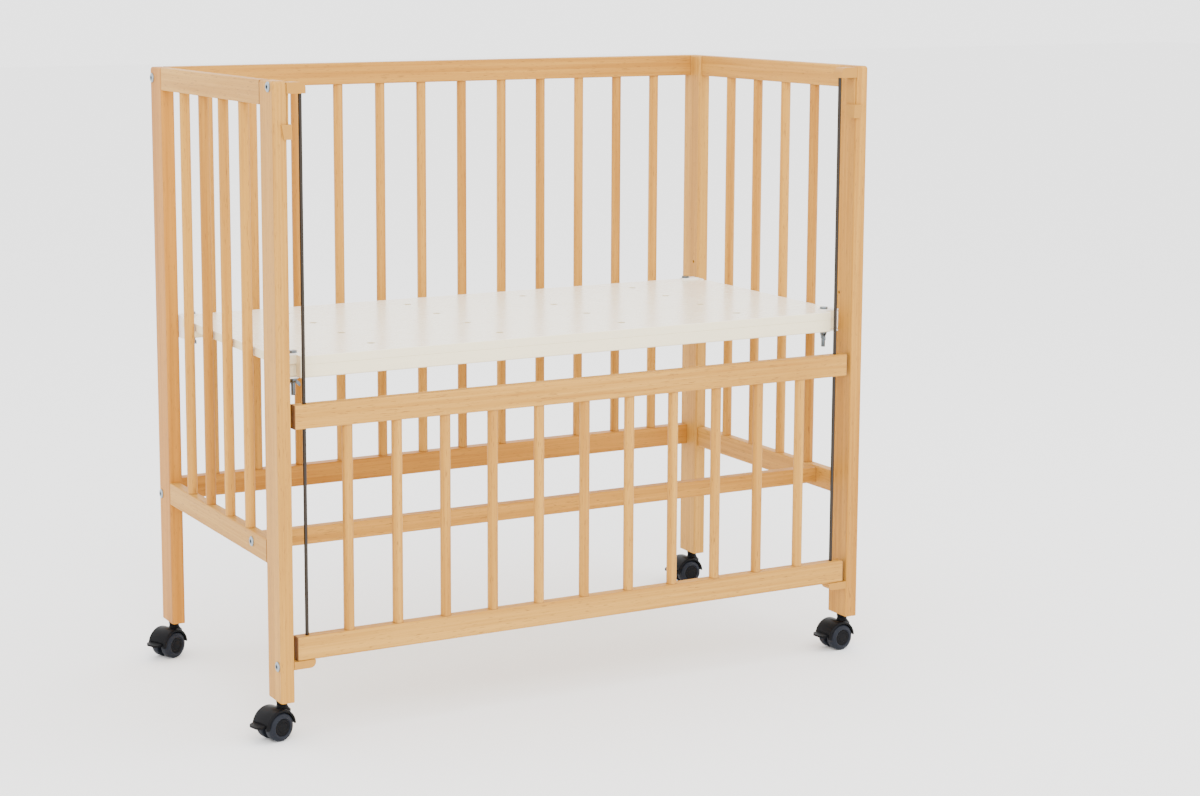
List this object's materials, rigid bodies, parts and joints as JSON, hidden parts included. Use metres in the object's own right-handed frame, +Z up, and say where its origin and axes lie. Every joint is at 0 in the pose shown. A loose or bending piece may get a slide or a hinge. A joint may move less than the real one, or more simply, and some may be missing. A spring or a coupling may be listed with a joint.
{
  "type": "bedside crib",
  "caption": "Beech bedside sleeper crib with slatted ends and back, a drop side on steel guide rods, a hung board base and braked twin-wheel castors.",
  "frame": {"origin": "middle of the bounding box, at floor level under the castors", "axes": "+X along the crib from the viewer's left to right, +Y from the drop side to the back, +Z up"},
  "size_m": [0.9932, 0.4898, 0.896],
  "materials": {
    "beech": "clear lacquer",
    "white_board": "white melamine",
    "base_timber": "white painted timber",
    "beige_plastic": "moulded",
    "rod_steel": "drawn",
    "zinc_steel": "zinc plated",
    "black_nylon": "moulded",
    "slate_tread": "soft tread"
  },
  "bodies": {
    "frame": {"front_left_leg": "beech", "back_left_leg": "beech", "front_right_leg": "beech", "back_right_leg": "beech", "left_end_top_rail": "beech", "left_end_bottom_rail": "beech", "left_end_slats": "beech", "right_end_top_rail": "beech", "right_end_bottom_rail": "beech", "right_end_slats": "beech", "back_top_rail": "beech", "back_bottom_rail": "beech", "back_slats": "beech", "front_stretcher": "beech", "left_guide_rod": "rod_steel", "right_guide_rod": "rod_steel", "left_rod_foot": "beige_plastic", "right_rod_foot": "beige_plastic", "left_catch_body": "beige_plastic", "right_catch_body": "beige_plastic", "mattress_board": "white_board", "base_front_rail": "base_timber", "base_back_rail": "base_timber", "base_corner_blocks": "base_timber", "base_brackets": "zinc_steel", "base_bolts": "zinc_steel", "castor_stems": "zinc_steel"},
    "drop_side": {"drop_side_top_rail": "beech", "drop_side_bottom_rail": "beech", "drop_side_slats": "beech"},
    "left_catch": {"left_catch_lever": "beige_plastic"},
    "right_catch": {"right_catch_lever": "beige_plastic"},
    "front_left_castor": {"front_left_castor_hood": "black_nylon", "front_left_castor_axle": "zinc_steel"},
    "front_left_left_wheel": {"front_left_castor_left_wheel": "slate_tread"},
    "front_left_right_wheel": {"front_left_castor_right_wheel": "slate_tread"},
    "front_left_brake_pedal": {"front_left_castor_pedal": "black_nylon"},
    "back_left_castor": {"back_left_castor_hood": "black_nylon", "back_left_castor_axle": "zinc_steel"},
    "back_left_left_wheel": {"back_left_castor_left_wheel": "slate_tread"},
    "back_left_right_wheel": {"back_left_castor_right_wheel": "slate_tread"},
    "back_left_brake_pedal": {"back_left_castor_pedal": "black_nylon"},
    "front_right_castor": {"front_right_castor_hood": "black_nylon", "front_right_castor_axle": "zinc_steel"},
    "front_right_left_wheel": {"front_right_castor_left_wheel": "slate_tread"},
    "front_right_right_wheel": {"front_right_castor_right_wheel": "slate_tread"},
    "front_right_brake_pedal": {"front_right_castor_pedal": "black_nylon"},
    "back_right_castor": {"back_right_castor_hood": "black_nylon", "back_right_castor_axle": "zinc_steel"},
    "back_right_left_wheel": {"back_right_castor_left_wheel": "slate_tread"},
    "back_right_right_wheel": {"back_right_castor_right_wheel": "slate_tread"},
    "back_right_brake_pedal": {"back_right_castor_pedal": "black_nylon"},
    "front_left_wing_nut_turn": {"front_left_wing_nut": "zinc_steel"},
    "back_left_wing_nut_turn": {"back_left_wing_nut": "zinc_steel"},
    "front_right_wing_nut_turn": {"front_right_wing_nut": "zinc_steel"},
    "back_right_wing_nut_turn": {"back_right_wing_nut": "zinc_steel"}
  },
  "joints": [
    {"name": "drop_side_slide", "type": "slide", "parent": "frame", "child": "drop_side", "axis": [0, 0, 1], "range_m": [0, 0.414]},
    {"name": "left_catch_hinge", "type": "hinge", "parent": "frame", "child": "left_catch", "pos_m": [-0.43489, -0.23011, 0.882], "axis": [0, -1, 0], "range_deg": [0, 4]},
    {"name": "right_catch_hinge", "type": "hinge", "parent": "frame", "child": "right_catch", "pos_m": [0.47111, -0.23011, 0.882], "axis": [0, 1, 0], "range_deg": [0, 4]},
    {"name": "front_left_castor_swivel", "type": "hinge", "parent": "frame", "child": "front_left_castor", "pos_m": [-0.44689, -0.21711, 0.049], "axis": [0, 0, 1], "continuous": true},
    {"name": "front_left_left_wheel_spin", "type": "hinge", "parent": "front_left_castor", "child": "front_left_left_wheel", "pos_m": [-0.46255, -0.20964, 0.02], "axis": [-0.2756, 0.9613, 0], "continuous": true},
    {"name": "front_left_right_wheel_spin", "type": "hinge", "parent": "front_left_castor", "child": "front_left_right_wheel", "pos_m": [-0.45621, -0.23175, 0.02], "axis": [-0.2756, 0.9613, 0], "continuous": true},
    {"name": "front_left_brake", "type": "hinge", "parent": "front_left_castor", "child": "front_left_brake_pedal", "pos_m": [-0.46899, -0.22345, 0.031], "axis": [-0.2756, 0.9613, 0], "range_deg": [0, 3]},
    {"name": "back_left_castor_swivel", "type": "hinge", "parent": "frame", "child": "back_left_castor", "pos_m": [-0.44689, 0.22089, 0.049], "axis": [0, 0, 1], "continuous": true},
    {"name": "back_left_left_wheel_spin", "type": "hinge", "parent": "back_left_castor", "child": "back_left_left_wheel", "pos_m": [-0.46353, 0.22582, 0.02], "axis": [-0.4226, 0.9063, 0], "continuous": true},
    {"name": "back_left_right_wheel_spin", "type": "hinge", "parent": "back_left_castor", "child": "back_left_right_wheel", "pos_m": [-0.45381, 0.20497, 0.02], "axis": [-0.4226, 0.9063, 0], "continuous": true},
    {"name": "back_left_brake", "type": "hinge", "parent": "back_left_castor", "child": "back_left_brake_pedal", "pos_m": [-0.46773, 0.21117, 0.031], "axis": [-0.4226, 0.9063, 0], "range_deg": [0, 3]},
    {"name": "front_right_castor_swivel", "type": "hinge", "parent": "frame", "child": "front_right_castor", "pos_m": [0.48311, -0.21711, 0.049], "axis": [0, 0, 1], "continuous": true},
    {"name": "front_right_left_wheel_spin", "type": "hinge", "parent": "front_right_castor", "child": "front_right_left_wheel", "pos_m": [0.46916, -0.20679, 0.02], "axis": [-0.0872, 0.9962, 0], "continuous": true},
    {"name": "front_right_right_wheel_spin", "type": "hinge", "parent": "front_right_castor", "child": "front_right_right_wheel", "pos_m": [0.47117, -0.2297, 0.02], "axis": [-0.0872, 0.9962, 0], "continuous": true},
    {"name": "front_right_brake", "type": "hinge", "parent": "front_right_castor", "child": "front_right_brake_pedal", "pos_m": [0.4602, -0.21912, 0.031], "axis": [-0.0872, 0.9962, 0], "range_deg": [0, 3]},
    {"name": "back_right_castor_swivel", "type": "hinge", "parent": "frame", "child": "back_right_castor", "pos_m": [0.48311, 0.22089, 0.049], "axis": [0, 0, 1], "continuous": true},
    {"name": "back_right_left_wheel_spin", "type": "hinge", "parent": "back_right_castor", "child": "back_right_left_wheel", "pos_m": [0.46972, 0.23193, 0.02], "axis": [-0.0349, 0.9994, 0], "continuous": true},
    {"name": "back_right_right_wheel_spin", "type": "hinge", "parent": "back_right_castor", "child": "back_right_right_wheel", "pos_m": [0.47052, 0.20894, 0.02], "axis": [-0.0349, 0.9994, 0], "continuous": true},
    {"name": "back_right_brake", "type": "hinge", "parent": "back_right_castor", "child": "back_right_brake_pedal", "pos_m": [0.46013, 0.22009, 0.031], "axis": [-0.0349, 0.9994, 0], "range_deg": [0, 3]},
    {"name": "front_left_wing_nut_spin", "type": "hinge", "parent": "frame", "child": "front_left_wing_nut_turn", "pos_m": [-0.41589, -0.19711, 0.49], "axis": [0, 0, 1], "continuous": true},
    {"name": "back_left_wing_nut_spin", "type": "hinge", "parent": "frame", "child": "back_left_wing_nut_turn", "pos_m": [-0.41589, 0.20089, 0.49], "axis": [0, 0, 1], "continuous": true},
    {"name": "front_right_wing_nut_spin", "type": "hinge", "parent": "frame", "child": "front_right_wing_nut_turn", "pos_m": [0.45211, -0.19711, 0.49], "axis": [0, 0, 1], "continuous": true},
    {"name": "back_right_wing_nut_spin", "type": "hinge", "parent": "frame", "child": "back_right_wing_nut_turn", "pos_m": [0.45211, 0.20089, 0.49], "axis": [0, 0, 1], "continuous": true}
  ]
}
